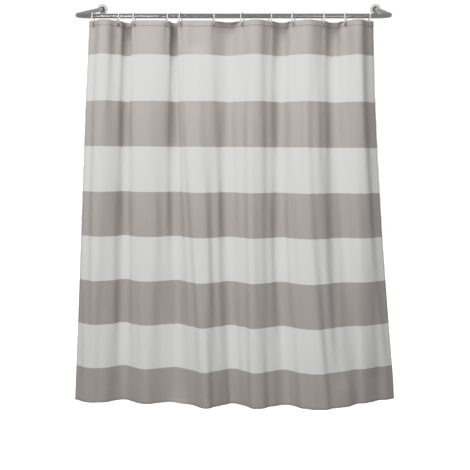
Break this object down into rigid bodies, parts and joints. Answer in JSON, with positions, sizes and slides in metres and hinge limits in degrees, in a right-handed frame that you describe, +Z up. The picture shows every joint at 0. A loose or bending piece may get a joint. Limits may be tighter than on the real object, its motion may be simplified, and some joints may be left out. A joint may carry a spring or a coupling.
{
  "type": "shower curtain",
  "caption": "Striped cloth shower curtain hung in folds on split rings from a U-shaped rod with screwed wall flanges.",
  "frame": {"origin": "on the wall plane, half way between the centres of the two rod flanges", "axes": "+X along the front run of the rod, to the right as seen from outside the bath; +Y into the wall; +Z up"},
  "size_m": [1.5871, 0.7988, 2.0239],
  "materials": {
    "cloth": "plain woven polyester, taupe and white stripes, matte with a slight sheen",
    "brushed_nickel": "satin nickel tube",
    "eyelet_nickel": "dark nickel, pressed",
    "pale_cover": "pale satin",
    "zinc": "zinc plated",
    "ring_plastic": "white, semi-gloss"
  },
  "bodies": {
    "rod": {"rod_front_tube": "brushed_nickel", "rod_left_arm_tube": "brushed_nickel", "left_splice_sleeve": "zinc", "left_wall_plate": "zinc", "left_collar": "brushed_nickel", "left_set_screw": "zinc", "left_flange_cover": "pale_cover", "left_wall_screw_1": "zinc", "left_wall_screw_2": "zinc", "left_wall_screw_3": "zinc", "rod_right_arm_tube": "brushed_nickel", "right_splice_sleeve": "zinc", "right_wall_plate": "zinc", "right_collar": "brushed_nickel", "right_set_screw": "zinc", "right_flange_cover": "pale_cover", "right_wall_screw_1": "zinc", "right_wall_screw_2": "zinc", "right_wall_screw_3": "zinc"},
    "curtain": {"curtain_cloth": "cloth"},
    "ring_01_set": {"ring_01": "ring_plastic", "eyelet_01": "eyelet_nickel"},
    "ring_02_set": {"ring_02": "ring_plastic", "eyelet_02": "eyelet_nickel"},
    "ring_03_set": {"ring_03": "ring_plastic", "eyelet_03": "eyelet_nickel"},
    "ring_04_set": {"ring_04": "ring_plastic", "eyelet_04": "eyelet_nickel"},
    "ring_05_set": {"ring_05": "ring_plastic", "eyelet_05": "eyelet_nickel"},
    "ring_06_set": {"ring_06": "ring_plastic", "eyelet_06": "eyelet_nickel"},
    "ring_07_set": {"ring_07": "ring_plastic", "eyelet_07": "eyelet_nickel"},
    "ring_08_set": {"ring_08": "ring_plastic", "eyelet_08": "eyelet_nickel"},
    "ring_09_set": {"ring_09": "ring_plastic", "eyelet_09": "eyelet_nickel"},
    "ring_10_set": {"ring_10": "ring_plastic", "eyelet_10": "eyelet_nickel"},
    "ring_11_set": {"ring_11": "ring_plastic", "eyelet_11": "eyelet_nickel"},
    "ring_12_set": {"ring_12": "ring_plastic", "eyelet_12": "eyelet_nickel"}
  },
  "joints": [
    {"name": "curtain_swing", "type": "hinge", "parent": "rod", "child": "curtain", "pos_m": [0, -0.7, -0.1455], "axis": [1, 0, 0], "range_deg": [-18, 18]},
    {"name": "ring_01_slide", "type": "slide", "parent": "curtain", "child": "ring_01_set", "axis": [1, 0, 0], "range_m": [0, 0.9788], "deforming": ["curtain_cloth"]},
    {"name": "ring_02_slide", "type": "slide", "parent": "curtain", "child": "ring_02_set", "axis": [1, 0, 0], "range_m": [0, 0.8907]},
    {"name": "ring_03_slide", "type": "slide", "parent": "curtain", "child": "ring_03_set", "axis": [1, 0, 0], "range_m": [0, 0.8342]},
    {"name": "ring_04_slide", "type": "slide", "parent": "curtain", "child": "ring_04_set", "axis": [1, 0, 0], "range_m": [0, 0.7194]},
    {"name": "ring_05_slide", "type": "slide", "parent": "curtain", "child": "ring_05_set", "axis": [1, 0, 0], "range_m": [0, 0.672]},
    {"name": "ring_06_slide", "type": "slide", "parent": "curtain", "child": "ring_06_set", "axis": [1, 0, 0], "range_m": [0, 0.5556]},
    {"name": "ring_07_slide", "type": "slide", "parent": "curtain", "child": "ring_07_set", "axis": [1, 0, 0], "range_m": [0, 0.4556]},
    {"name": "ring_08_slide", "type": "slide", "parent": "curtain", "child": "ring_08_set", "axis": [1, 0, 0], "range_m": [0, 0.3576]},
    {"name": "ring_09_slide", "type": "slide", "parent": "curtain", "child": "ring_09_set", "axis": [1, 0, 0], "range_m": [0, 0.2774]},
    {"name": "ring_10_slide", "type": "slide", "parent": "curtain", "child": "ring_10_set", "axis": [1, 0, 0], "range_m": [0, 0.1751]},
    {"name": "ring_11_slide", "type": "slide", "parent": "curtain", "child": "ring_11_set", "axis": [1, 0, 0], "range_m": [0, 0.0963]},
    {"name": "ring_12_slide", "type": "slide", "parent": "curtain", "child": "ring_12_set", "axis": [1, 0, 0], "range_m": [0, 0.0142]}
  ],
  "couplings": [
    {"joint": "ring_02_slide", "follows": "ring_01_slide", "ratio": 0.90893},
    {"joint": "ring_03_slide", "follows": "ring_01_slide", "ratio": 0.8513},
    {"joint": "ring_04_slide", "follows": "ring_01_slide", "ratio": 0.73395},
    {"joint": "ring_05_slide", "follows": "ring_01_slide", "ratio": 0.68548},
    {"joint": "ring_06_slide", "follows": "ring_01_slide", "ratio": 0.56659},
    {"joint": "ring_07_slide", "follows": "ring_01_slide", "ratio": 0.46449},
    {"joint": "ring_08_slide", "follows": "ring_01_slide", "ratio": 0.36437},
    {"joint": "ring_09_slide", "follows": "ring_01_slide", "ratio": 0.28234},
    {"joint": "ring_10_slide", "follows": "ring_01_slide", "ratio": 0.17788},
    {"joint": "ring_11_slide", "follows": "ring_01_slide", "ratio": 0.09734},
    {"joint": "ring_12_slide", "follows": "ring_01_slide", "ratio": 0.01345}
  ]
}
